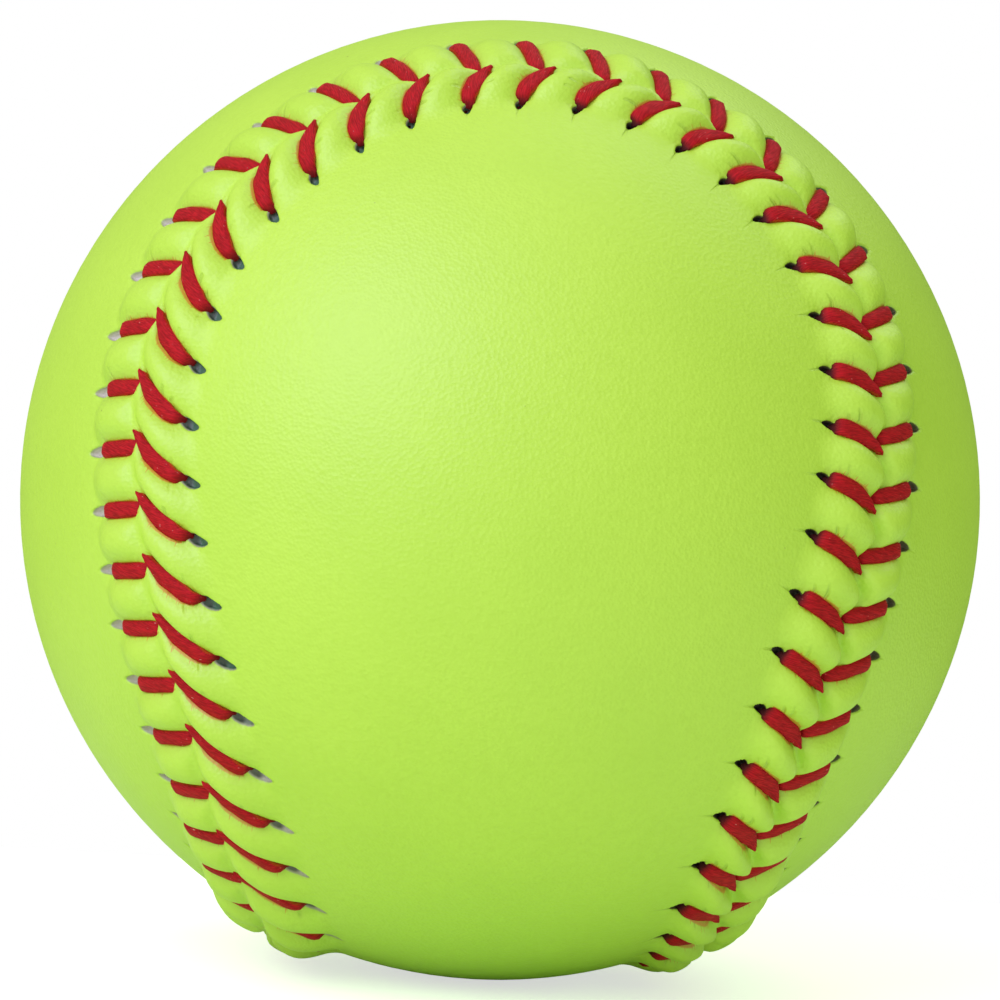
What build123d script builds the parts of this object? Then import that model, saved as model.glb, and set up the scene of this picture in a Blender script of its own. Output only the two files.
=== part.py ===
"""Softball: a solid core, a leather cover in two figure-eight panels, and the two threads that sew them."""

from build123d import *
from bisect import bisect_right
from math import atan2, cos, pi, sin, sqrt, tan
import os

# Driving dimensions, in millimetres
CIRCUMFERENCE = 304.8  # round the plain leather
LEATHER_THICKNESS = 1.8
GLUE_LINE = 0.15  # between the core and the leather
CLEARANCE = 0.1  # round each thread

# The seam, one closed line on the ball
WAIST_WIDTH = 44.0  # across a panel at its narrowest, from seam to seam
LOBE_SWING = 0.495  # how strongly the seam swings round a panel's lobes

# The raised rim of each panel, from the seam outwards
RIM_HEIGHT = 1.5  # above the plain leather
CROWN_FROM_SEAM = 3.2
RIM_BEYOND_HOLES = 1.6

# The stitches
STITCH_COUNT = 88  # Vs along the seam
FIRST_STITCH = 0.33  # of a pitch past the seam's starting point
HOLE_FROM_SEAM = 7.0
THREAD_WIDTH = 1.4  # the thread is pulled flat
THREAD_THICKNESS = 0.6
THREAD_SPACE = 0.5  # along the seam, between a V's two threads where they go down
LEAN = 3.1  # how far a V's point lies ahead of its holes
LEAN_BIAS = 1.5  # more lean on panel a than on panel b
LEAN_SWING = 3.0  # as one row of holes slips past the other round a lobe
LEAN_PHASE = 0.6  # share of the seam where that slip passes through its mean

# Sizes that follow
BALL_RADIUS = CIRCUMFERENCE / (2 * pi)
INNER_RADIUS = BALL_RADIUS - LEATHER_THICKNESS
CORE_RADIUS = INNER_RADIUS - GLUE_LINE
SEAM_RISE = (1 - LOBE_SWING) / tan(WAIST_WIDTH / 2 / BALL_RADIUS)
LIP_FROM_SEAM = THREAD_THICKNESS / 2 + CLEARANCE
RIM_WIDTH = HOLE_FROM_SEAM + RIM_BEYOND_HOLES
ROOF_WIDTH = HOLE_FROM_SEAM + THREAD_THICKNESS / 2 + 2 * CLEARANCE
RIM_CURVE = ((RIM_WIDTH - CROWN_FROM_SEAM) ** 2 + RIM_HEIGHT**2) / (2 * RIM_HEIGHT)
STITCH_STAGGER = THREAD_WIDTH + THREAD_SPACE

# How finely the rim follows the seam
RIM_LENGTHS = 4
SECTIONS_PER_LENGTH = 64
SEAM_STEPS = 4000


def seam_direction(turn):
    """The seam's direction from the ball's centre, for a turn of 0 to 2 pi along it."""
    across = cos(turn) + LOBE_SWING * cos(3 * turn)
    along = sin(turn) - LOBE_SWING * sin(3 * turn)
    quarter = sqrt(0.5)
    return Vector(
        quarter * (across - along),
        quarter * (across + along),
        SEAM_RISE * sin(2 * turn),
    ).normalized()


def seam_lengths():
    """Length along the seam at each of its even steps of turn."""
    lengths = [0.0]
    last = seam_direction(0)
    for step in range(1, SEAM_STEPS + 1):
        here = seam_direction(2 * pi * step / SEAM_STEPS)
        lengths.append(lengths[-1] + BALL_RADIUS * (here - last).length)
        last = here
    return lengths


LENGTHS = seam_lengths()
SEAM_LENGTH = LENGTHS[-1]
PITCH = SEAM_LENGTH / STITCH_COUNT

# A thread's runs are straight, so their middles lie this much lower than their ends
RUN_SAG = (HOLE_FROM_SEAM**2 + PITCH**2) / (8 * INNER_RADIUS)
LEG_SAG = (HOLE_FROM_SEAM - CROWN_FROM_SEAM) ** 2 / (8 * RIM_CURVE)
HIDDEN_DEPTH = LEATHER_THICKNESS - CLEARANCE - RUN_SAG - THREAD_THICKNESS / 2
ROOF_DEPTH = HIDDEN_DEPTH - THREAD_THICKNESS / 2 - CLEARANCE


def seam_frame(along):
    """Outward direction and direction of travel, a length along the seam."""
    along %= SEAM_LENGTH
    step = min(bisect_right(LENGTHS, along) - 1, SEAM_STEPS - 1)
    share = (along - LENGTHS[step]) / (LENGTHS[step + 1] - LENGTHS[step])
    turn = 2 * pi * (step + share) / SEAM_STEPS
    small = 1e-4
    travel = seam_direction(turn + small) - seam_direction(turn - small)
    return seam_direction(turn), travel.normalized()


def on_ball(along, aside, height):
    """A point by its length along the seam, distance aside (panel a is positive) and height."""
    outward, travel = seam_frame(along)
    angle = aside / BALL_RADIUS
    direction = outward * cos(angle) + travel.cross(outward) * sin(angle)
    return direction * (BALL_RADIUS + height)


def rim_height(aside):
    """Height of the rim's outer arc over the plain leather."""
    return RIM_HEIGHT - RIM_CURVE + sqrt(RIM_CURVE**2 - (aside - CROWN_FROM_SEAM) ** 2)


def rim_section(along, side):
    """The rim cut across the seam: outer arc, lip, roof over the hidden thread, slope to the core side."""
    outer_foot = on_ball(along, side * RIM_WIDTH, 0)
    crown = on_ball(along, side * CROWN_FROM_SEAM, RIM_HEIGHT)
    lip_top = on_ball(along, side * LIP_FROM_SEAM, rim_height(LIP_FROM_SEAM))
    lip = on_ball(along, side * LIP_FROM_SEAM, -ROOF_DEPTH)
    roof = on_ball(along, side * ROOF_WIDTH, -ROOF_DEPTH)
    inner_foot = on_ball(along, side * RIM_WIDTH, -LEATHER_THICKNESS)
    return Wire(
        [
            Edge.make_three_point_arc(outer_foot, crown, lip_top),
            Edge.make_line(lip_top, lip),
            Edge.make_line(lip, roof),
            Edge.make_line(roof, inner_foot),
        ]
    )


def rim_faces(side):
    """The faces of a panel's rim all the way round, in lengths that meet end to end."""
    faces = []
    piece = SEAM_LENGTH / RIM_LENGTHS
    for part in range(RIM_LENGTHS):
        stations = [piece * (part + k / SECTIONS_PER_LENGTH) for k in range(SECTIONS_PER_LENGTH + 1)]
        faces += Shell.make_loft([rim_section(along, side) for along in stations]).faces()
    return Shell(faces).faces()


def plain_patch(radius, side, faces):
    """The part of a sphere inside the rim's foot line at that radius."""
    edges = [edge for face in faces for edge in face.edges()]
    feet = [edge for edge in edges if abs((edge @ 0.3).length - radius) < 1e-4]
    line = Wire([edge for edge in feet if abs((edge @ 0.6).length - radius) < 1e-4])
    poles = Plane((0, 0, 0), x_dir=(0, 0, side), z_dir=(1, 0, 0) if side > 0 else (0, 1, 0))
    sphere = Solid.make_sphere(radius, plane=poles, angle1=-90, angle2=90, angle3=360).face()
    return min(sphere.split_by_perimeter(line, Keep.BOTH), key=lambda patch: patch.area)


def point_of_stitch(number):
    """Length along the seam at the point of a V."""
    return (number + FIRST_STITCH) * PITCH


def hole_of_stitch(number, side):
    """Length along the seam at a V's hole in the panel on that side."""
    point = point_of_stitch(number)
    slip = LEAN_BIAS - LEAN_SWING * sin(4 * pi * (point / SEAM_LENGTH - LEAN_PHASE))
    return point - LEAN - side * slip / 2


def stitch_hole(number, side):
    """The awl slit that a thread comes up through."""
    along = hole_of_stitch(number, side)
    middle = on_ball(along, side * HOLE_FROM_SEAM, 0)
    plane = Plane(middle, x_dir=seam_frame(along)[1], z_dir=middle)
    reach = 2 * (LEATHER_THICKNESS + RIM_HEIGHT)
    return plane * Box(THREAD_WIDTH + 2 * CLEARANCE, THREAD_THICKNESS + 2 * CLEARANCE, reach)


def cover_panel(side):
    """A leather panel: plain inside and outside faces, raised rim and the slits along it."""
    rim = rim_faces(side)
    outside = plain_patch(BALL_RADIUS, side, rim)
    inside = plain_patch(INNER_RADIUS, side, rim)
    leather = Solid(Shell([*rim, outside, inside]))
    return leather.cut(*[stitch_hole(number, side).solid() for number in range(STITCH_COUNT)])


def over_rim(aside):
    """Height of a thread's middle where it lies on the rim."""
    return rim_height(aside) + LEG_SAG + CLEARANCE + THREAD_THICKNESS / 2


def stitch_corners(number, side):
    """Corners of a thread's way: up through a hole, over the rim, down into the seam."""
    hole = hole_of_stitch(number, side)
    point = point_of_stitch(number) - (STITCH_STAGGER if side < 0 else 0)
    crown = point + (hole - point) * CROWN_FROM_SEAM / HOLE_FROM_SEAM
    return [
        (hole, side * HOLE_FROM_SEAM, -HIDDEN_DEPTH),
        (hole, side * HOLE_FROM_SEAM, over_rim(HOLE_FROM_SEAM)),
        (crown, side * CROWN_FROM_SEAM, over_rim(CROWN_FROM_SEAM)),
        (point, 0, over_rim(CROWN_FROM_SEAM)),
        (point, 0, -HIDDEN_DEPTH),
    ]


def thread_section(before, here, after):
    """The flat thread's outline where it bends, mitred between the runs before and after."""
    normals = []
    for start, end in ((before, here), (here, after)):
        angle = atan2(end[2] - start[2], end[1] - start[1])
        normals.append((-sin(angle), cos(angle)))
    (a, b), (c, d) = normals
    reach = THREAD_THICKNESS / 2 / (1 + a * c + b * d)
    along, aside, height = here
    half = seam_frame(along)[1] * (THREAD_WIDTH / 2)
    over = on_ball(along, aside + reach * (a + c), height + reach * (b + d))
    under = on_ball(along, aside - reach * (a + c), height - reach * (b + d))
    return [over - half, over + half, under + half, under - half]


def stitch_thread(first_side):
    """One thread, from side to side at each stitch, from its first hole round to its tucked end."""
    corners = []
    for number in range(STITCH_COUNT):
        corners += stitch_corners(number, first_side if number % 2 == 0 else -first_side)
    last, first = corners[-1], corners[0]
    end = (last[0] + 2 * CLEARANCE, first[1] * 0.6, -HIDDEN_DEPTH - RUN_SAG)
    way = [(first[0], 0, first[2]), *corners, end, (end[0], first[1], end[2])]
    outlines = [thread_section(*way[k - 1 : k + 2]) for k in range(1, len(way) - 1)]
    faces = [Face(Wire.make_polygon(outline)) for outline in (outlines[0], outlines[-1])]
    for start, end in zip(outlines, outlines[1:]):
        for k in range(4):
            near = Edge.make_line(start[k - 1], start[k])
            far = Edge.make_line(end[k - 1], end[k])
            faces.append(Face.make_surface_from_curves(near, far))
    return Solid(Shell(faces))


os.makedirs("parts", exist_ok=True)
pieces = {
    "polyurethane_core": Solid.make_sphere(CORE_RADIUS, angle1=-90, angle2=90, angle3=360),
    "cover_panel_a": cover_panel(1),
    "cover_panel_b": cover_panel(-1),
    "stitch_thread_a": stitch_thread(1),
    "stitch_thread_b": stitch_thread(-1),
}
for name, piece in pieces.items():
    export_step(piece, f"parts/{name}.step")
    print(name, round(piece.volume, 1), piece.is_valid)
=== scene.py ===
from math import cos, pi, radians, sin, sqrt, tan

import bpy
import numpy as np
from mathutils import Matrix, Vector
from mathutils.geometry import delaunay_2d_cdt


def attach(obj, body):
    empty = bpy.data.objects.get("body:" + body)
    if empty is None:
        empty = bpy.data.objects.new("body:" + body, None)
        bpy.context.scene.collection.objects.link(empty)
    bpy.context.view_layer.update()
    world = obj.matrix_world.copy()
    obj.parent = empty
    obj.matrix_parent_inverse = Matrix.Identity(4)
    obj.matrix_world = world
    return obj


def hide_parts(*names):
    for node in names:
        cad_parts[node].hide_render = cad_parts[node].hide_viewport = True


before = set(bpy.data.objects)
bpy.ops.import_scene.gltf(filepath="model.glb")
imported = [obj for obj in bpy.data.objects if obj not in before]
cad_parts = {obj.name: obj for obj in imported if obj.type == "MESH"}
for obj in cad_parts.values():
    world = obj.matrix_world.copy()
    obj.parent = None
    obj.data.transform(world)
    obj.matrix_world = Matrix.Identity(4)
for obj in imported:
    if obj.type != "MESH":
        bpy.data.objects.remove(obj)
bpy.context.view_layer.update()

# The ball, in millimetres, as in the CAD source
MM = 0.001
RADIUS = 304.8 / (2 * pi)
LEATHER = 1.8  # thickness
WAIST = 44.0  # across a panel at its narrowest, from seam to seam
SWING = 0.495  # how strongly the seam swings round a panel's lobes
RISE = (1 - SWING) / tan(WAIST / 2 / RADIUS)
SEAM_STEPS = 8000
STITCHES = 88
FIRST_STITCH = 0.33  # of a pitch past the seam's starting point
A, B = 1, -1  # the panels' sides of the seam

# How this ball was sewn, at some of its stitches; it repeats on the ball's other half
REPEAT = STITCHES // 2
STATIONS = [
    36, 38, 40, 42, 44, 46, 48, 50, 52, 54, 56, 58,
    60, 62, 64, 66, 68, 70, 72, 74, 77, 79, 80,
]
POINT_DRIFT = [  # of a V's point, along the seam
    -2.0, -0.6, 0.45, -0.15, -0.3, -0.35, -0.3, 0.05, -0.3, -0.1, 0.35, 0.45,
    0.5, 0.3, -0.45, -0.65, -0.7, -0.5, 0.3, 1.5, -0.1, -1.37, -2.0,
]
SEAM_DRIFT = [  # of the seam, towards panel a
    0.7, -0.2, 0.05, -0.5, -0.3, -0.7, 0.15, 0.35, 0.3, -0.15, -0.7, -0.65,
    -0.8, -0.6, -0.35, 0.3, 0.3, -0.05, -0.1, -0.4, 0.5, 2.3, 0.7,
]
SEAM_WAVE = [  # of the seam towards panel b, between two stitches
    0.3, 0.3, 0.3, 0.3, 0.3, 0.3, 0.3, 0.3, 0.3, 0.3, 0.35, 0.45,
    0.6, 0.9, 1.35, 1.5, 1.35, 1.15, 1.0, 0.8, 0.5, 0.4, 0.3,
]
LEANS = {  # how far a hole lies behind its V's point
    A: [
        2.4, 3.6, 4.95, 4.95, 5.15, 5.4, 5.5, 4.55, 3.1, 2.45, 2.85, 2.8,
        3.0, 2.5, 1.65, 1.85, 2.3, 3.4, 3.6, 3.5, 3.4, 2.73, 2.4,
    ],
    B: [
        2.45, 2.6, 2.5, 0.7, 0.5, 0.95, 2.1, 3.0, 3.0, 2.75, 3.25, 3.35,
        3.15, 2.7, 3.25, 3.3, 3.8, 3.4, 2.55, 2.4, 3.0, 2.63, 2.45,
    ],
}
HOLES_AT = {  # how far from the drawn seam a hole lies
    A: [
        8.75, 7.15, 6.4, 5.95, 5.85, 5.6, 5.95, 6.2, 5.95, 4.9, 4.15, 4.2,
        4.5, 4.85, 5.55, 6.2, 6.0, 4.95, 4.35, 4.3, 6.2, 7.9, 8.75,
    ],
    B: [
        5.6, 6.8, 7.5, 7.9, 7.9, 7.95, 7.8, 8.0, 8.1, 8.1, 8.2, 7.5,
        7.7, 7.8, 7.5, 7.1, 7.1, 7.2, 7.3, 7.6, 6.6, 5.93, 5.6,
    ],
}
THREAD_IN = {  # from a hole's middle in to where the thread comes up
    A: [
        0.3, 0.6, 0.7, 0.6, 0.5, 0.5, 0.4, 0.3, 0.1, -0.1, -0.2, -0.2,
        -0.1, -0.1, -0.1, -0.1, -0.1, -0.1, -0.1, 0.0, 0.1, 0.23, 0.3,
    ],
    B: [
        0.8, 0.7, 0.8, 0.95, 1.0, 1.35, 1.0, 0.8, 0.5, 0.0, 0.0, 0.2,
        0.6, 0.8, 0.7, 0.5, 0.25, 0.15, 0.15, 0.3, 0.6, 0.73, 0.8,
    ],
}
THREAD_TAPER = {  # share of its width that a leg loses at its hole
    A: [
        0.4, 0.4, 0.4, 0.4, 0.4, 0.4, 0.4, 0.38, 0.34, 0.3, 0.26, 0.22,
        0.16, 0.08, 0.05, 0.05, 0.05, 0.08, 0.12, 0.2, 0.3, 0.37, 0.4,
    ],
    B: [0.08] * len(STATIONS),
}
CREASE = [  # height of the seam between two stitches
    1.0, 1.0, 1.05, 1.1, 1.1, 1.1, 1.1, 1.05, 1.0, 1.0, 0.95, 0.85,
    0.75, 0.6, 0.4, 0.35, 0.4, 0.45, 0.6, 0.8, 0.9, 0.97, 1.0,
]
PILLOW_GROWTH = {  # how much fuller than elsewhere the pillows are
    A: [
        0.08, 0.03, 0, 0, 0, 0, 0, 0, 0, 0, 0, 0,
        0, 0, 0.06, 0.13, 0.18, 0.22, 0.22, 0.2, 0.16, 0.16, 0.08,
    ],
    B: [
        0, 0, 0, 0, 0, 0, 0, 0, 0, 0, 0, 0,
        0, 0, 0.03, 0.05, 0.06, 0.06, 0.05, 0.05, 0.05, 0.03, 0,
    ],
}

# How uneven the sewing is from stitch to stitch
POINT_SCATTER = 0.08
HOLE_SCATTER = 0.12
HOLE_ASIDE_SCATTER = 0.08
PILLOW_SCATTER = 0.05

# Rows are distances aside, as if every hole were 7 mm out
HOLE_ROW = 7.0
HOLES_FADE = (7.5, 12)  # rows over which the holes' own distance aside fades out
DRIFT_FADE = (8, 12)  # rows over which the seam's drift fades out
SHARED_DRIFT = 1.5  # rows up to about here drift with the other panel, so that the seam stays closed
WAVE_REACH = 2.6

# The legs of a V
LEG_CURVE = {A: 1.6, B: 0.9}  # how much a leg turns square to the seam towards its hole
LEG_TURN = {A: 8.8, B: 7.0}  # row at which it would be square
B_LEG_SHORT = 1.15  # panel b's leg ends this far behind the V's point, under the other leg

# The pillows that the stitches pull up along the seam, and the grooves between them
PILLOW = 1.95  # height of a pillow's crest over the plain leather
CREST_ROW = 2.9
PILLOW_FOOT = {A: 8.5, B: 7.8}  # row where a pillow ends
PILLOW_FALL = {A: (2.0, 2.0), B: (2.6, 2.1)}  # powers of its fall from crest to foot
PILLOW_ROUND = 2.3  # power of its rise out of a groove
PILLOW_PINCH = 0.9  # how much nearer its foot comes in a groove
GROOVE_HALF = 0.5  # of its flat floor
GROOVE_SHARE = 0.14  # of a pillow's height
GROOVE_END = (6.5, 8.7)  # rows over which a groove runs out
GROOVE_DIP_WIDTH = 0.9
SEAM_END_DIP = 0.1
HOLE_END_DIP, HOLE_END_ROW = 0.2, 6.8
SEAM_JOIN = 0.7  # rows up to about here take the seam's height
POINT_DIP, POINT_DIP_WIDTH, POINT_DIP_BEHIND = 0.35, 0.9, 0.5

# The awl holes
PIT_ROW = 7.2
PIT_REACH = {A: 1.0, B: 1.1}  # half its length
PIT_HALF = {A: 0.45, B: 0.56}  # half its width
PIT_WIDER = {A: 0.28, B: 0.0}  # by the share that the thread tapers
PIT_NARROWS = 0.12  # towards its outer end
PIT_WALL = (0.7, 1.1)  # shares of its size between which its wall lies
PIT_DEPTH, PIT_DEEPER, PIT_DEEPER_ROWS = 0.45, 0.3, (6.0, 6.9)

# The thread, pulled flat
THREAD_HALF = {A: 0.92, B: 0.83}  # half its width
THREAD_DEEP = 0.44  # half its thickness
THREAD_SEAT = 0.85  # its middle stands this share of that over the groove's floor
TAPER_SHARES = (0.62, 0.95)  # of a leg, over which it narrows to its hole
TIP_NARROWS = {  # share of the width lost at the seam, between which shares of a leg
    A: [(0.5, 0.34, 0.0), (0.42, 0.05, -0.03)],
    B: [(0.1, 0.3, 0.0)],
}
TIP_LIFTS = {  # height won at the seam, between which rows
    A: [(0.14, 1.6, 0.3), (0.22, 0.4, -0.2)],
    B: [(-0.05, 1.6, 0.3)],
}
HIDDEN = 1.2  # depth of its runs under the leather
COMING_UP = [(6.5, -HIDDEN), (6.45, -0.85), (6.38, -0.5), (6.25, -0.15)]  # row and height in a hole
COMING_UP_DEEP = 0.32
LEG_START, LEG_NEAR_END, LEG_STATIONS = 5.95, 0.9, 20  # rows of its even stations, and their number
LEG_TIP = {A: [0.6, 0.42, 0.26, 0.1, -0.05, -0.2], B: [0.6, 0.3, 0.0]}  # rows of its last stations
INWARD_FADE = (2.5, 5)  # rows over which it takes up its place in the hole
GOING_DOWN = {  # row, height, half width and half thickness in the seam
    A: [(-0.24, 0.6, 0.08, 0.2), (-0.18, -0.3, 0.3, 0.3), (-0.12, -HIDDEN, 0.5, 0.3)],
    B: [(-0.06, 0.05, 0.5, 0.3), (-0.09, -0.5, 0.5, 0.3), (-0.12, -HIDDEN, 0.5, 0.3)],
}
TIP_AHEAD = {A: [(0.4, 0.6, -0.2)], B: []}  # how far a leg's tip bends along the seam, between which rows
RUN_SHARES = (0.15, 0.32, 0.5, 0.68, 0.85)  # stations of a hidden run
AROUND = 14  # points around the thread
SQUARENESS = 0.8
PLIES = [(0.05, 5, -1.5), (0.03, 3, 2.2)]  # depth, number around, twist in radians per mm

# The grids of the leather
COLUMN_HALF = [0.02, 0.04, 0.06, 0.08, 0.1, 0.125, 0.155, 0.19, 0.235, 0.29, 0.355, 0.425]
COLUMN_SHARES = [0.0, *COLUMN_HALF, 0.5, *[1 - share for share in reversed(COLUMN_HALF)]]
ROWS = [
    0.005, 0.08, 0.2, 0.36, 0.6, 0.9, 1.3, 1.75, 2.25, 2.8, 3.4, 4.0, 4.6, 5.15, 5.6, 6.0, 6.3,
    6.5, 6.65, 6.8, 6.95, 7.1, 7.25, 7.4, 7.55, 7.7, 7.85, 8.0, 8.2, 8.5, 9.0, 9.8, 11.0, 12.5,
]
PLAIN_ROW = 9.5  # past this the leather is plain
UNDER_ROWS = [  # row and height of the lip and the underside
    (0.005, -0.3), (0.005, -0.75), (3.0, -0.75), (5.9, -0.75), (6.4, -1.6), (12.5, -LEATHER),
]
OUTER_SPACING, INNER_SPACING = 1.9, 4.0  # of the points on the plain leather
RING_MARGIN = 0.7  # of that spacing, kept clear inside the grid's last row
SEAM_SAMPLES = 1600  # places along the seam from which distances are taken

# Values that the leather's marks go by
FAR = 9.0  # past every mark
FAR_ROW = 20.0
CLEAN_SEAM, CLEAN_SEAM_ROWS = 0.35, (0, 1.2)  # the thread leaves less dye at the seam,
CLEAN_HOLE_ROWS = (6.0, 6.5)  # none past its hole
CLEAN_SHARES = (0.38, 0.46)  # and none half way to the next stitch

rng = np.random.default_rng(11)


# ---------------------------------------------------------------- the seam

def unit(vectors):
    return vectors / np.linalg.norm(vectors, axis=-1, keepdims=True)


def smooth(low, high, x):
    """An even step from 0 at low to 1 at high."""
    t = np.clip((x - low) / (high - low), 0, 1)
    return t * t * (3 - 2 * t)


def steps(table, x):
    """The sum of some smooth steps, each given by its size, low and high."""
    return sum(size * smooth(low, high, x) for size, low, high in table)


def hump(x, width):
    """1 at 0, fading out past the width."""
    return np.exp(-((x / width) ** 2))


def seam_direction(turn):
    """The seam's direction from the ball's centre, for a turn of 0 to 2 pi along it."""
    across = np.cos(turn) + SWING * np.cos(3 * turn)
    along = np.sin(turn) - SWING * np.sin(3 * turn)
    quarter = sqrt(0.5)
    x, y, z = quarter * (across - along), quarter * (across + along), RISE * np.sin(2 * turn)
    return unit(np.stack([x, y, z], -1))


TURNS = np.linspace(0, 2 * pi, SEAM_STEPS + 1)
STEPS = np.linalg.norm(np.diff(seam_direction(TURNS), axis=0), axis=1) * RADIUS
LENGTHS = np.concatenate([[0], np.cumsum(STEPS)])
SEAM_LENGTH = LENGTHS[-1]
PITCH = SEAM_LENGTH / STITCHES


def seam_frame(along):
    """Outward, travel and sideways (towards panel a) directions along the seam."""
    turn = np.interp(np.mod(along, SEAM_LENGTH), LENGTHS, TURNS)
    small = 1e-4
    outward = seam_direction(turn)
    travel = unit(seam_direction(turn + small) - seam_direction(turn - small))
    return outward, travel, np.cross(travel, outward)


def on_ball(along, aside, height):
    """Points by their length along the seam, distance aside (panel a is positive) and height."""
    along, aside, height = np.broadcast_arrays(along, aside, height)
    outward, _, sideways = seam_frame(along)
    angle = (aside / RADIUS)[..., None]
    return (outward * np.cos(angle) + sideways * np.sin(angle)) * (RADIUS + height)[..., None]


# ---------------------------------------------------------------- where the stitches lie

MARGIN = 5  # stitches that are counted again before the first and after the last
NUMBERS = np.arange(-MARGIN, STITCHES + MARGIN + 1)


def sewn(values, phase=NUMBERS):
    """A sewing value at each stitch, or part of the way between stitches."""
    return np.interp((phase - STATIONS[0]) % REPEAT + STATIONS[0], STATIONS, values)


def scatter(amount):
    """Random differences from stitch to stitch."""
    return rng.normal(0, amount, STITCHES)[NUMBERS % STITCHES]


POINTS = (NUMBERS + FIRST_STITCH) * PITCH + sewn(POINT_DRIFT) + scatter(POINT_SCATTER)
HOLES = {side: POINTS - sewn(LEANS[side]) + scatter(HOLE_SCATTER) for side in (A, B)}
HOLE_ASIDE = {
    side: sewn(HOLES_AT[side]) - side * sewn(SEAM_DRIFT) + scatter(HOLE_ASIDE_SCATTER) for side in (A, B)
}
LEG_ENDS = {A: POINTS, B: POINTS - B_LEG_SHORT}
PILLOW_SIZES = {side: 1 + sewn(PILLOW_GROWTH[side]) + scatter(PILLOW_SCATTER) for side in (A, B)}


def phase_at(along):
    """Stitch number, with its fraction, at a length along the seam."""
    return np.interp(np.mod(along, SEAM_LENGTH), POINTS, NUMBERS)


def leg_share(side, row):
    """How far along the seam a leg has got from the V's point (0) to its hole (1)."""
    turned = [1 - np.clip(1 - at / LEG_TURN[side], 0, 1) ** LEG_CURVE[side] for at in (row, HOLE_ROW)]
    return turned[0] / turned[1]


def leg_line(side, row):
    """Length along the seam of every leg's middle line, at a row."""
    return LEG_ENDS[side] + (HOLES[side] - LEG_ENDS[side]) * leg_share(side, row)


def true_aside(side, row, along, phase, hole_aside):
    """Signed distance from the drawn seam, for a row beside this ball's own seam."""
    if row < HOLE_ROW:
        out = row * hole_aside / HOLE_ROW
    else:
        out = row + (hole_aside - HOLE_ROW) * (1 - smooth(*HOLES_FADE, row))
    phase_here = phase_at(along)
    wave = sewn(SEAM_WAVE, phase_here) * np.sin(pi * phase_here) ** 2 * hump(row, WAVE_REACH)
    near = hump(row, SHARED_DRIFT)
    drift = sewn(SEAM_DRIFT, phase) * (1 - near) + sewn(SEAM_DRIFT, phase_here) * near
    return side * out + drift * (1 - smooth(*DRIFT_FADE, row)) - wave


def fall(side, row, pinch=0):
    """How a pillow falls from its crest (1) to its foot (0)."""
    power, steep = PILLOW_FALL[side]
    return (1 - np.clip((row - CREST_ROW) / (PILLOW_FOOT[side] - pinch - CREST_ROW), 0, 1) ** power) ** steep


def crest_height(side, row, crease, pinch):
    """A pillow's crest line, from the seam's crease out to the plain leather."""
    if row < CREST_ROW:
        return crease + (PILLOW - crease) * np.sqrt(1 - np.clip(1 - row / CREST_ROW, 0, 1) ** 2)
    return PILLOW * fall(side, row, pinch)


def groove_height(side, row):
    """The floor between two pillows, where a thread's leg lies."""
    seam_end = SEAM_END_DIP * hump(row, GROOVE_DIP_WIDTH)
    hole_end = HOLE_END_DIP * hump(row - HOLE_END_ROW, GROOVE_DIP_WIDTH)
    return GROOVE_SHARE * PILLOW * fall(side, row) - seam_end - hole_end


def seam_height(along):
    """Where the two panels meet in the seam: lower at a V's point, under its threads."""
    phase = phase_at(along)
    from_point = (phase - np.round(phase)) * PITCH
    return sewn(CREASE, phase) - POINT_DIP * hump(from_point + POINT_DIP_BEHIND, POINT_DIP_WIDTH)


def thread_half(side, row, phase):
    """Half the width of a thread's leg."""
    share = row / HOLE_ROW
    taper = sewn(THREAD_TAPER[side], phase) * smooth(*TAPER_SHARES, share)
    return THREAD_HALF[side] * (1 - taper) * (1 - steps(TIP_NARROWS[side], share))


# ---------------------------------------------------------------- meshes

def make_piece(name, points, faces, values, stands_for, facing=None, lip=0):
    """A smooth mesh with its values, in place of a CAD node.

    Points that face out (1) or in (-1) get the sphere's own normals, and the first lip points get those of the
    next row.
    """
    mesh = bpy.data.meshes.new(name)
    mesh.from_pydata((points * MM).tolist(), [], faces)
    for label, numbers in values.items():
        kind, field = ("FLOAT_VECTOR", "vector") if numbers.ndim == 2 else ("FLOAT", "value")
        layer = mesh.attributes.new(label, kind, "POINT")
        layer.data.foreach_set(field, numbers.astype(np.float32).ravel())
    mesh.polygons.foreach_set("use_smooth", [True] * len(mesh.polygons))
    mesh.update()
    if facing is not None:
        normals = np.zeros(len(points) * 3, np.float32)
        mesh.vertex_normals.foreach_get("vector", normals)
        normals = normals.reshape(-1, 3)
        plain = facing != 0
        normals[plain] = (unit(points) * facing[:, None])[plain]
        normals[:lip] = normals[lip : 2 * lip]
        mesh.normals_split_custom_set_from_vertices(normals.tolist())
    piece = bpy.data.objects.new(name, mesh)
    bpy.context.scene.collection.objects.link(piece)
    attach(piece, "root")
    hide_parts(stands_for)
    return piece


def grid_faces(rows, columns):
    """Quads of a closed band of rows, each of that many columns."""
    row, column = np.meshgrid(np.arange(rows - 1), np.arange(columns), indexing="ij")
    beside = (column + 1) % columns
    here, next_row = row * columns, (row + 1) * columns
    return np.stack([here + column, here + beside, next_row + beside, next_row + column], -1).reshape(-1, 4)


def faces_facing(points, faces, way):
    """The faces turned so that they look away from the ball's centre (way 1) or towards it (way -1)."""
    a, b, c = points[faces[:, 0]], points[faces[:, 1]], points[faces[:, 2]]
    looks = np.sum(np.cross(b - a, c - a) * (a + b + c), axis=1) * way
    turned = faces.copy()
    turned[looks < 0] = faces[looks < 0][:, ::-1]
    return turned


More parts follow.
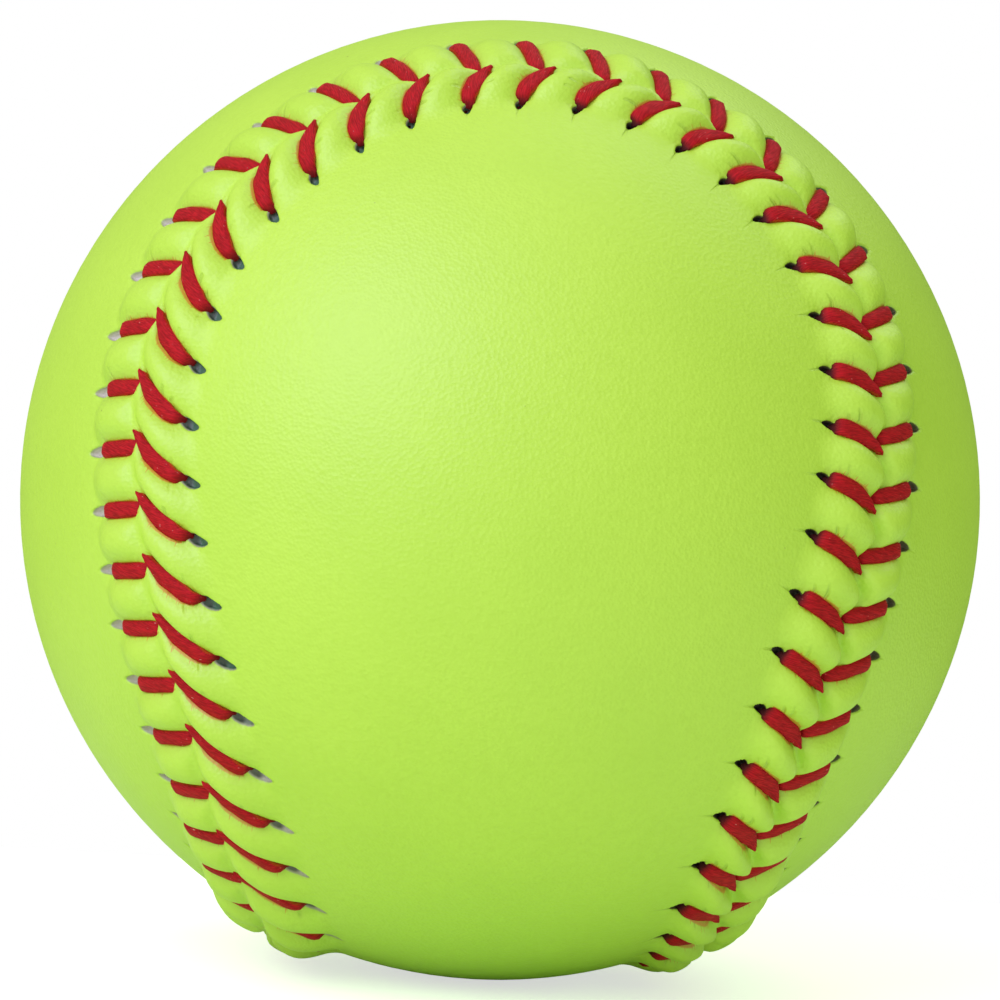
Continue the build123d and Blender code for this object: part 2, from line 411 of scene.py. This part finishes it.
def aside_of(directions):
    """Signed distance from the seam, positive on panel a."""
    outward, _, sideways = seam_frame(np.linspace(0, SEAM_LENGTH, SEAM_SAMPLES, endpoint=False))
    near = np.argmax(directions @ outward.T, axis=1)
    return RADIUS * np.arcsin(np.clip(np.sum(directions * sideways[near], 1), -1, 1))


def fill_patch(side, ring, radius, spacing, ring_aside):
    """New points on a sphere inside a ring of points, and triangles over ring and new points."""
    # Points of an even spiral over the sphere, as far as they lie inside
    count = int(4 * pi * radius**2 / spacing**2)
    k = np.arange(count) + 0.5
    height = 1 - 2 * k / count
    swirl = pi * (1 + sqrt(5)) * k
    flat = np.sqrt(1 - height**2)
    directions = np.stack([flat * np.cos(swirl), flat * np.sin(swirl), height], -1)
    inside = directions[side * aside_of(directions) > ring_aside + RING_MARGIN * spacing]

    # Triangles on a flat chart, seen from the far pole
    units = np.concatenate([unit(ring), inside])
    chart = units[:, :2] / (1 - side * units[:, 2:3])
    edges = [(i, (i + 1) % len(ring)) for i in range(len(ring))]
    within_edges, tolerance = 1, 1e-9
    made = delaunay_2d_cdt([Vector(p) for p in chart.tolist()], edges, [], within_edges, tolerance, True)
    source = [origins[0] for origins in made[3]]
    triangles = np.array([[source[i] for i in face] for face in made[2]])
    # Triangles with all corners on the ring span the hollows beside the waist, outside the patch
    return inside * radius, triangles[(triangles >= len(ring)).any(axis=1)]


# ---------------------------------------------------------------- the leather

def panel_rows(side, phase):
    """Rows of points from the seam out to the plain leather and then under it, and the upper rows' values."""
    share = phase - np.round(phase)
    lean = np.interp(phase, NUMBERS, HOLES[side] - LEG_ENDS[side])
    hole_aside = np.interp(phase, NUMBERS, HOLE_ASIDE[side])
    size = np.interp(phase, NUMBERS + 0.5, PILLOW_SIZES[side])
    crease = sewn(CREASE, phase)
    inward = sewn(THREAD_IN[side], phase)
    pit_half = PIT_HALF[side] + PIT_WIDER[side] * sewn(THREAD_TAPER[side], phase)

    def row_points(row, height):
        along = np.interp(phase, NUMBERS, leg_line(side, row))
        return on_ball(along, true_aside(side, row, along, phase, hole_aside), height)

    points, values = [], []
    small = 0.1
    for row in ROWS:
        # Distance square to the leg, which leans
        steep = lean / hole_aside * HOLE_ROW * (leg_share(side, row + small) - leg_share(side, row)) / small
        slant = 1 / np.sqrt(1 + steep**2)
        beside = share * PITCH * slant
        gap = np.abs(beside)

        # Pillows and grooves, down to the common height in the seam
        rise = np.clip((gap - GROOVE_HALF) / (0.5 * PITCH * slant - GROOVE_HALF), 0, 1)
        rise = 1 - (1 - rise) ** PILLOW_ROUND
        crest = crest_height(side, row, crease, PILLOW_PINCH * (1 - rise)) * size
        held = 1 - smooth(*GROOVE_END, row)
        height = crest - held * (crest - groove_height(side, row)) * (1 - rise)
        along = np.interp(phase, NUMBERS, leg_line(side, row))
        height += (seam_height(along) - height) * hump(row, SEAM_JOIN)

        # The awl hole
        out = (row - PIT_ROW + 0.5 * inward) / (PIT_REACH[side] + 0.5 * inward)
        pit = 1 - smooth(*PIT_WALL, np.sqrt(out**2 + (gap / (pit_half - PIT_NARROWS * out)) ** 2))
        height = height - (PIT_DEPTH + PIT_DEEPER * smooth(*PIT_DEEPER_ROWS, row)) * pit

        # Distance from the thread's edge, kept large where the thread leaves no dye
        at_seam = CLEAN_SEAM * (1 - smooth(*CLEAN_SEAM_ROWS, row))
        past_hole = FAR * smooth(*CLEAN_HOLE_ROWS, row + inward)
        between = FAR * smooth(*CLEAN_SHARES, np.abs(share))
        edge = gap - thread_half(side, row + inward, phase) + (at_seam + past_hole + between)

        points.append(row_points(row, height))
        rows = np.full(len(phase), row)
        values.append({"beside": beside, "row": rows, "pit": pit, "edge": edge, "stitch": np.round(phase)})
    points += [row_points(row, height) for row, height in UNDER_ROWS]
    return points, values


def leather_panel(name, side):
    """A leather panel: its stitched border, lip and underside as a grid, and plain patches inside that."""
    phase = (np.arange(STITCHES)[:, None] + np.array(COLUMN_SHARES)[None, :]).ravel()
    columns = len(phase)
    points, values = panel_rows(side, phase)
    band = np.concatenate(points)
    first_under = len(ROWS) * columns

    outer_new, outer_faces = fill_patch(side, points[len(ROWS) - 1], RADIUS, OUTER_SPACING, ROWS[-1])
    inner_new, inner_faces = fill_patch(side, points[-1], RADIUS - LEATHER, INNER_SPACING, UNDER_ROWS[-1][0])
    everything = np.concatenate([band, outer_new, inner_new])
    first_inner = len(band) + len(outer_new)
    outer_ring = np.arange(first_under - columns, first_under)
    inner_ring = np.arange(len(band) - columns, len(band))
    outer_index = np.concatenate([outer_ring, np.arange(len(band), first_inner)])
    inner_index = np.concatenate([inner_ring, np.arange(first_inner, len(everything))])

    top = grid_faces(len(ROWS), columns)
    under = grid_faces(len(UNDER_ROWS), columns) + first_under
    edge = np.arange(columns)
    beside = (edge + 1) % columns
    lip = np.stack([edge, beside, first_under + beside, first_under + edge], -1)
    walls = np.concatenate([lip, under[:columns]])[:, ::side]
    faces = faces_facing(everything, top, 1).tolist()
    faces += faces_facing(everything, under[columns:], -1).tolist() + walls.tolist()
    faces += faces_facing(everything, outer_index[outer_faces], 1).tolist()
    faces += faces_facing(everything, inner_index[inner_faces], -1).tolist()

    rest = len(everything) - first_under
    filled = {}
    for label, beyond in (("beside", FAR), ("row", FAR_ROW), ("pit", 0.0), ("edge", FAR), ("stitch", 0.0)):
        filled[label] = np.concatenate([*(marks[label] for marks in values), np.full(rest, beyond)])
    facing = np.zeros(len(everything))
    facing[np.argmax(np.array(ROWS) > PLAIN_ROW) * columns : first_under] = 1
    facing[len(band) : first_inner] = 1
    facing[first_inner:] = -1
    stands_for = name.replace("leather_", "cover_")
    return make_piece(name, everything, faces, filled, stands_for, facing, columns)


# ---------------------------------------------------------------- the threads

def stitch_way(number, side):
    """Stations of one leg: (along, aside, height, half width, half depth, row), from its hole to the seam."""
    k = number + MARGIN
    inward = float(sewn(THREAD_IN[side], number))
    way = []
    for row, height in COMING_UP:
        way.append((row - inward, height, float(thread_half(side, row, number)), COMING_UP_DEEP))
    for row in [*np.linspace(LEG_START - inward, LEG_NEAR_END, LEG_STATIONS), *LEG_TIP[side]]:
        height = groove_height(side, row) + THREAD_DEEP * THREAD_SEAT + steps(TIP_LIFTS[side], row)
        half = float(thread_half(side, row + inward * smooth(*INWARD_FADE, row), number))
        way.append((row, height, half, THREAD_DEEP))
    stations = []
    for row, height, half, deep in way + GOING_DOWN[side]:
        along = LEG_ENDS[side][k] + (HOLES[side][k] - LEG_ENDS[side][k]) * leg_share(side, max(row, 0))
        along += steps(TIP_AHEAD[side], row)
        aside = float(true_aside(side, row, along, number, HOLE_ASIDE[side][k]))
        stations.append((along, aside, height, half, deep, row + inward))
    return stations


def eased(values, times):
    """Values along a thread, each drawn towards its neighbours a few times."""
    for _ in range(times):
        values[1:-1] = values[:-2] * 0.25 + values[1:-1] * 0.5 + values[2:] * 0.25
    return values


def stitch_thread(name, first_side):
    """One continuous thread, over the seam at each stitch and hidden under the leather between stitches."""
    stations = []
    for number in range(STITCHES):
        leg = stitch_way(number, first_side if number % 2 == 0 else -first_side)
        if stations:
            last, first = stations[-1], leg[0]
            for share in RUN_SHARES:
                stations.append(tuple(p + (q - p) * share for p, q in zip(last, first)))
        stations += leg
    along, aside, height, half, deep, row = np.array(stations).T
    middle = eased(on_ball(along, aside, height), 2)

    # Across the thread and level with the leather, then square to the thread
    _, travel, sideways = seam_frame(along)
    level = eased(np.gradient(np.stack([along, aside], -1), axis=0), 4)
    across = travel * -level[:, 1:2] + sideways * level[:, 0:1]
    across /= np.linalg.norm(across, axis=1, keepdims=True) + 1e-12
    across *= np.where(np.sum(across * travel, 1, keepdims=True) < 0, -1, 1)
    heading = unit(np.gradient(middle, axis=0))
    across = unit(across - heading * np.sum(across * heading, 1, keepdims=True))
    upward = np.cross(heading, across)

    run = np.concatenate([[0], np.cumsum(np.linalg.norm(np.diff(middle, axis=0), axis=1))])
    angle = 2 * pi * np.arange(AROUND) / AROUND
    wide = np.sign(np.cos(angle)) * np.abs(np.cos(angle)) ** SQUARENESS
    thick = np.sign(np.sin(angle)) * np.abs(np.sin(angle)) ** SQUARENESS
    ply = np.ones((len(stations), AROUND))
    for amount, lobes, twist in PLIES:
        ply += amount * np.cos(lobes * angle[None, :] + twist * run[:, None])
    lateral = half[:, None] * wide[None, :] * ply
    depth = deep[:, None] * thick[None, :] * ply
    skin = middle[:, None, :] + across[:, None, :] * lateral[..., None] + upward[:, None, :] * depth[..., None]
    faces = grid_faces(len(stations), AROUND).tolist()
    last = (len(stations) - 1) * AROUND
    faces += [list(range(AROUND))[::-1], list(range(last, last + AROUND))]
    strand = np.stack([np.broadcast_to(run[:, None], lateral.shape), lateral, depth], -1).reshape(-1, 3)
    values = {"strand": strand, "row": np.repeat(row, AROUND), "side": np.tile(np.abs(wide), len(stations))}
    stands_for = name.replace("red_thread", "stitch_thread")
    return make_piece(name, skin.reshape(-1, 3), faces, values, stands_for)


# ---------------------------------------------------------------- materials

YELLOW, LIGHT_YELLOW, DEEP_YELLOW = (0.500, 0.80, 0.045, 1), (0.530, 0.83, 0.052, 1), (0.475, 0.76, 0.034, 1)
PORE = (0.16, 0.20, 0.01, 1)
# Painted shade in the folds beside the thread and in the lines drawn from the holes
FOLD_SHADE = (0.27, 0.50, 0.012, 1)
DYE_ON_LEATHER = (0.62, 0.27, 0.003, 1)
LOW_WALL = (0.62, 0.59, 0.50, 1)  # of the awl holes low on the ball
# Rims of the awl holes: a lit copy for the ball's left, painted shade for its right
LIT_RIM, SHADED_RIM = (0.40, 0.42, 0.25, 1), (0.09, 0.09, 0.02, 1)
# Painted shade deep in a hole, under the thread
SHADE_UNDER_THREAD = (0.012, 0.016, 0.01, 1)
# Walls of the awl holes: lit copies for the ball's left, painted shade for its right
LIT_WALL = {A: (0.05, 0.15, 0.075, 1), B: (0.60, 0.57, 0.47, 1)}
SHADED_WALL = {A: (0.02, 0.012, 0.008, 1), B: (0.085, 0.065, 0.035, 1)}
FOLDS = {A: 1.0, B: 0.4}  # how much the folds show
DARK_RED, RED, WAX = (0.30, 0.002, 0.006, 1), (0.56, 0.006, 0.014, 1), (0.72, 0.36, 0.33, 1)
RED_EDGE = (0.50, 0.09, 0.003, 1)
# Painted shade on the thread where it goes down into a hole
HOLE_SHADE_RED = (0.02, 0.004, 0.004, 1)
FOAM, LIGHT_FOAM, FOAM_CELL = (0.62, 0.50, 0.30, 1), (0.72, 0.62, 0.42, 1), (0.36, 0.27, 0.14, 1)
PAPER = (0.86, 0.95, 0.70, 1)
SHADED_AIR, LIT_AIR = (0.76, 1, 0.36, 1), (1, 0.99, 0.92, 1)
WHITE = (1, 1, 1, 1)

# Scales of the patterns, per metre
CLOUDS, GRAIN, PEBBLES, PORES = 55.0, 1300.0, 2500.0, 330.0
FOAM_CLOUDS, FOAM_CELLS = 80.0, 900.0

# The folds beside a thread
FOLD_FROM = 0.8  # where a fold starts, from the leg's middle line
FOLD_HALF = 0.28  # half its width
TAIL_ROW, TAIL_HALF = 7.9, 0.16  # of the line drawn from each hole


class Look:
    """The nodes of a material or a world, and short ways to add to them.

    Every value that goes into a node is a constant or another node's socket.
    """

    def __init__(self, owner):
        owner.use_nodes = True
        self.nodes, self.links = owner.node_tree.nodes, owner.node_tree.links

    def feed(self, socket, value):
        if isinstance(value, bpy.types.NodeSocket):
            self.links.new(value, socket)
        else:
            socket.default_value = value

    def add(self, kind, inputs=None, **settings):
        node = self.nodes.new(kind)
        for key, value in settings.items():
            setattr(node, key, value)
        for key, value in (inputs or {}).items():
            self.feed(node.inputs[key], value)
        return node

    def calc(self, operation, *values):
        return self.add("ShaderNodeMath", dict(enumerate(values)), operation=operation).outputs[0]

    def times(self, first, second):
        return self.calc("MULTIPLY", first, second)

    def step(self, value, low, high, start=0.0, end=1.0):
        """A smooth step from start to end, as the value goes from low to high."""
        inputs = {"Value": value, "From Min": low, "From Max": high, "To Min": start, "To Max": end}
        return self.add("ShaderNodeMapRange", inputs, interpolation_type="SMOOTHSTEP").outputs[0]

    def blend(self, share, first, second):
        """A colour between two."""
        return self.add("ShaderNodeMix", {0: share, 6: first, 7: second}, data_type="RGBA").outputs[2]

    def place(self):
        return self.nodes.new("ShaderNodeTexCoord").outputs["Object"]

    def read(self, label, kind="Fac"):
        return self.add("ShaderNodeAttribute", attribute_name=label).outputs[kind]

    def part(self, vector, axis):
        return self.add("ShaderNodeSeparateXYZ", {0: vector}).outputs[axis]

    def noise(self, place, scale, detail):
        inputs = {"Vector": place, "Scale": scale, "Detail": detail}
        return self.add("ShaderNodeTexNoise", inputs).outputs["Fac"]

    def cells(self, place, scale):
        return self.add("ShaderNodeTexVoronoi", {"Vector": place, "Scale": scale}).outputs["Distance"]

    def bump(self, height, strength, distance, below=None, invert=False):
        """A fine relief, over the one below."""
        inputs = {"Height": height, "Strength": strength, "Distance": distance}
        if below is not None:
            inputs["Normal"] = below
        return self.add("ShaderNodeBump", inputs, invert=invert).outputs[0]

    def rightness(self, place):
        """0 on the ball's left, 1 on its right, where the holes lie in shadow."""
        return self.step(self.part(place, 0), -0.012, 0.012)


def new_material(name):
    material = bpy.data.materials.new(name)
    look = Look(material)
    return material, look, look.nodes["Principled BSDF"]


def leather_folds(look, beside, row, edge, stitch, right):
    """Folds that run out from the thread, and a line drawn from each hole on the ball's right; the leather
    gives both a bump and painted shade.
    """
    calc, times, step = look.calc, look.times, look.step
    chance = look.add("ShaderNodeTexWhiteNoise", {"W": stitch}, noise_dimensions="1D").outputs["Color"]
    chances = look.add("ShaderNodeSeparateColor", {0: chance}).outputs
    upward = times(beside, calc("MULTIPLY_ADD", right, -2.0, 1.0))
    above = calc("SUBTRACT", upward, FOLD_FROM)
    below = calc("SUBTRACT", times(upward, -1.0), FOLD_FROM)

    def fold(away, start, reach, slope):
        line = calc("ABSOLUTE", calc("SUBTRACT", calc("SUBTRACT", row, start), times(away, slope)))
        window = times(step(away, -0.2, 0.25), step(away, reach, reach * 0.3))
        return times(step(line, FOLD_HALF, 0.0), window)

    first = calc("MULTIPLY_ADD", chances[0], 1.2, 3.7)
    second = calc("MULTIPLY_ADD", chances[1], 0.6, calc("ADD", first, 0.7))
    third = calc("MULTIPLY_ADD", chances[2], 1.5, 4.2)
    folds = times(fold(above, first, 1.7, 0.45), step(chances[1], 0.0, 0.6, 0.4, 1.0))
    folds = calc("ADD", folds, times(fold(above, second, 1.0, 0.7), step(chances[2], 0.1, 0.8, 0.2, 1.0)))
    folds = calc("ADD", folds, times(fold(below, third, 0.8, 0.3), step(chances[0], 0.2, 0.9, 0.1, 0.8)))

    drift = times(calc("SUBTRACT", row, TAIL_ROW), calc("MULTIPLY_ADD", chances[1], 0.5, -0.25))
    tail = times(step(calc("ABSOLUTE", calc("ADD", beside, drift)), TAIL_HALF, 0.0), step(edge, 13.5, 11.0))
    tail = times(times(tail, right), times(step(row, 7.7, 8.0), step(row, 9.6, 8.0)))
    return calc("ADD", times(folds, step(edge, 6.0, 2.5)), tail)


def thread_dye(look, beside, row, edge, stitch):
    """Dye off the thread on the leather: a thin line along the thread, and single hairs."""
    lane = {0: look.times(row, 8.0), 1: look.times(stitch, 3.7), 2: look.times(look.calc("SIGN", beside), 5.3)}
    hair = look.noise(look.add("ShaderNodeCombineXYZ", lane).outputs[0], 1.0, 2.0)
    stain = look.step(look.calc("SUBTRACT", edge, look.step(hair, 0.58, 0.75, 0.0, 0.34)), 0.09, -0.02)
    return look.times(stain, look.step(edge, -0.28, -0.05, 0.0, 0.85))


def leather_material(name, side):
    """Dyed leather, with its undyed inside in the walls of the awl holes; these walls are painted lit on the
    ball's left and painted shade on its right, with painted shade under the thread, and the folds carry
    painted shade.
    """
    material, look, shader = new_material(name)
    times, step, blend = look.times, look.step, look.blend
    place = look.place()
    beside, row, pit, edge, stitch = (look.read(label) for label in ("beside", "row", "pit", "edge", "stitch"))
    right = look.rightness(place)

    broad = look.noise(place, CLOUDS, 3.0)
    fine = look.noise(place, GRAIN, 2.0)
    yellow = blend(step(broad, 0.3, 0.7), YELLOW, LIGHT_YELLOW)
    yellow = blend(step(fine, 0.35, 0.75, 0.0, 0.35), yellow, DEEP_YELLOW)
    dots = times(step(look.cells(place, PORES), 0.05, 0.02), step(fine, 0.58, 0.66))
    yellow = blend(times(dots, 0.6), yellow, PORE)
    creases = times(leather_folds(look, beside, row, edge, stitch, right), FOLDS[side])
    # Painted shade in the folds and the lines from the holes
    yellow = blend(times(creases, 0.3), yellow, FOLD_SHADE)
    yellow = blend(thread_dye(look, beside, row, edge, stitch), yellow, DYE_ON_LEATHER)

    # The awl holes' walls: a lit copy on the ball's left, paler low on the ball, and painted shade on its
    # right
    inside = blend(step(look.part(place, 2), -0.014, -0.028), LIT_WALL[side], LOW_WALL)
    inside = blend(right, inside, SHADED_WALL[side])
    # Painted shade deep in the hole, where the thread goes down
    inside = blend(step(row, 7.0, 6.4, 0.0, 0.85), inside, SHADE_UNDER_THREAD)
    wall = blend(step(pit, 0.25, 0.7), blend(right, LIT_RIM, SHADED_RIM), inside)
    look.feed(shader.inputs["Base Color"], blend(step(pit, 0.1, 0.3), yellow, wall))
    look.feed(shader.inputs["Roughness"], step(broad, 0.2, 0.8, 0.50, 0.56))
    shader.inputs["Specular IOR Level"].default_value = 1.0

    grain = look.calc("MULTIPLY_ADD", fine, 0.8, look.cells(place, PEBBLES))
    skin = look.bump(grain, 0.29, 0.00015)
    look.feed(shader.inputs["Normal"], look.bump(creases, 0.8, 0.0002, skin, invert=True))
    return material


def thread_material():
    """Red waxed thread, streaked along its plies, with painted shade where it goes down into a hole, stronger
    on the ball's right.
    """
    material, look, shader = new_material("red_waxed_thread")
    times, step, blend = look.times, look.step, look.blend
    strand = look.read("strand", "Vector")
    turned = {"Vector": strand, "Angle": 0.32}
    turn = look.add("ShaderNodeVectorRotate", turned, rotation_type="Z_AXIS").outputs[0]
    drawn = look.add("ShaderNodeMapping", {"Vector": turn, "Scale": (0.7, 9.0, 5.0)}).outputs[0]
    streak = look.noise(drawn, 1.6, 3.0)
    speck = look.noise(strand, 2.3, 2.0)
    red = blend(step(streak, 0.34, 0.66), DARK_RED, RED)
    red = blend(times(step(speck, 0.66, 0.74), step(streak, 0.52, 0.66)), red, WAX)
    red = blend(step(look.read("side"), 0.9, 1.0, 0.0, 0.7), red, RED_EDGE)
    # Painted shade where the thread goes down into a hole, stronger on the ball's right
    shade = step(look.rightness(look.place()), 0.0, 1.0, 0.55, 0.95)
    hole_shade = times(step(look.read("row"), 5.7, 6.4), shade)
    look.feed(shader.inputs["Base Color"], blend(hole_shade, red, HOLE_SHADE_RED))
    look.feed(shader.inputs["Roughness"], step(streak, 0.3, 0.7, 0.75, 0.62))
    shader.inputs["Specular IOR Level"].default_value = 0.2
    look.feed(shader.inputs["Normal"], look.bump(streak, 0.5, 0.0001))
    return material


def core_material():
    """Tan polyurethane foam with fine cells."""
    material, look, shader = new_material("polyurethane_foam")
    place = look.place()
    cells = look.cells(place, FOAM_CELLS)
    foam = look.blend(look.step(look.noise(place, FOAM_CLOUDS, 4.0), 0.3, 0.7), FOAM, LIGHT_FOAM)
    foam = look.blend(look.step(cells, 0.05, 0.3, 0.5, 0.0), foam, FOAM_CELL)
    look.feed(shader.inputs["Base Color"], foam)
    look.feed(shader.inputs["Roughness"], look.step(cells, 0.0, 0.5, 0.8, 0.6))
    look.feed(shader.inputs["Normal"], look.bump(cells, 0.3, 0.0002))
    return material


# ---------------------------------------------------------------- the ball

for name, side, look_name in (("leather_panel_a", A, "leather_a"), ("leather_panel_b", B, "leather_b")):
    leather_panel(name, side).data.materials.append(leather_material(look_name, side))
thread = thread_material()
for name, side in (("red_thread_a", A), ("red_thread_b", B)):
    stitch_thread(name, side).data.materials.append(thread)
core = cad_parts["polyurethane_core"]
core.data.materials.clear()
core.data.materials.append(core_material())


# ---------------------------------------------------------------- floor, light and camera, in metres

FLOOR_REACH, FLOOR_BACK = 3.0, 0.07
FLOOR_GLOW = 0.62  # for the camera only
SKY_BRIGHT, SKY_DARK = 0.69, 0.235
SKY_TOWARDS = Vector((-0.5, -0.55, 0.67)).normalized()
CAMERA_TURN, CAMERA_RAISED, CAMERA_ROLL = radians(-0.92), radians(5.34), radians(3.42)
CAMERA_AWAY = 15.65  # ball radii from the ball's centre
BALL_PIXELS, PICTURE_PIXELS = 480, 1000  # the ball's radius and the picture's width
SENSOR = 36.0


def studio_floor():
    """A sheet of pale paper under the ball."""
    level = -RADIUS * MM
    left, right, front, back = -FLOOR_REACH, FLOOR_REACH, -FLOOR_REACH, FLOOR_BACK
    corners = [(left, front, level), (right, front, level), (right, back, level), (left, back, level)]
    mesh = bpy.data.meshes.new("studio_floor")
    mesh.from_pydata(corners, [], [(0, 1, 2, 3)])
    floor = bpy.data.objects.new("studio_floor", mesh)
    bpy.context.scene.collection.objects.link(floor)
    material, look, shader = new_material("studio_paper")
    shader.inputs["Base Color"].default_value = PAPER
    shader.inputs["Roughness"].default_value = 0.9
    shader.inputs["Specular IOR Level"].default_value = 0.1
    shader.inputs["Emission Color"].default_value = WHITE
    seen = look.nodes.new("ShaderNodeLightPath").outputs["Is Camera Ray"]
    look.feed(shader.inputs["Emission Strength"], look.times(seen, FLOOR_GLOW))
    mesh.materials.append(material)


def soft_light(name, place, size, watts, colour):
    """A round soft lamp that faces the ball."""
    lamp = bpy.data.lights.new(name, "AREA")
    lamp.shape = "DISK"
    lamp.size = size
    lamp.energy = watts
    lamp.color = colour
    light = bpy.data.objects.new(name, lamp)
    light.location = place
    light.rotation_euler = (-Vector(place)).to_track_quat("-Z", "Y").to_euler()
    bpy.context.scene.collection.objects.link(light)


def sky():
    """A warm white surround, dimmer and greener away from the light; the camera sees it plain white."""
    world = bpy.data.worlds.new("studio")
    look = Look(world)
    surface = look.nodes["Background"]
    way = look.nodes.new("ShaderNodeTexCoord").outputs["Generated"]
    along = {0: way, 1: SKY_TOWARDS}
    facing = look.add("ShaderNodeVectorMath", along, operation="DOT_PRODUCT").outputs["Value"]
    strength = look.step(facing, -1.0, 1.0, SKY_DARK, SKY_BRIGHT)
    seen = look.nodes.new("ShaderNodeLightPath").outputs["Is Camera Ray"]
    tint = look.blend(look.step(facing, -0.8, 0.8), SHADED_AIR, LIT_AIR)
    look.feed(surface.inputs["Color"], look.blend(seen, tint, WHITE))
    look.feed(surface.inputs["Strength"], look.calc("MAXIMUM", strength, seen))
    bpy.context.scene.world = world


def photo_camera():
    """The photograph's view: a long lens, a little above the ball, turned a little about its own axis."""
    turn, raised, roll = CAMERA_TURN, CAMERA_RAISED, CAMERA_ROLL
    back = Vector((sin(turn) * cos(raised), -cos(turn) * cos(raised), sin(raised)))
    right = Vector((cos(turn), sin(turn), 0))
    up = back.cross(right)
    right, up = right * cos(roll) + up * sin(roll), up * cos(roll) - right * sin(roll)
    lens = bpy.data.cameras.new("photo_camera")
    lens.sensor_width = SENSOR
    lens.lens = SENSOR * BALL_PIXELS * sqrt(CAMERA_AWAY**2 - 1) / PICTURE_PIXELS
    lens.clip_start, lens.clip_end = 0.01, 50
    camera = bpy.data.objects.new("photo_camera", lens)
    place = Matrix.Translation(back * (CAMERA_AWAY * RADIUS * MM))
    camera.matrix_world = place @ Matrix((right, up, back)).transposed().to_4x4()
    bpy.context.scene.collection.objects.link(camera)
    bpy.context.scene.camera = camera


studio_floor()
sky()
soft_light("key", place=(-0.78, -0.90, 0.91), size=1.3, watts=10.2, colour=(1.06, 1.0, 1.55))
soft_light("top", place=(0.45, 0.55, 1.0), size=0.9, watts=2.6, colour=(1.0, 1.0, 1.3))
photo_camera()
bpy.context.scene.view_settings.view_transform = "Standard"
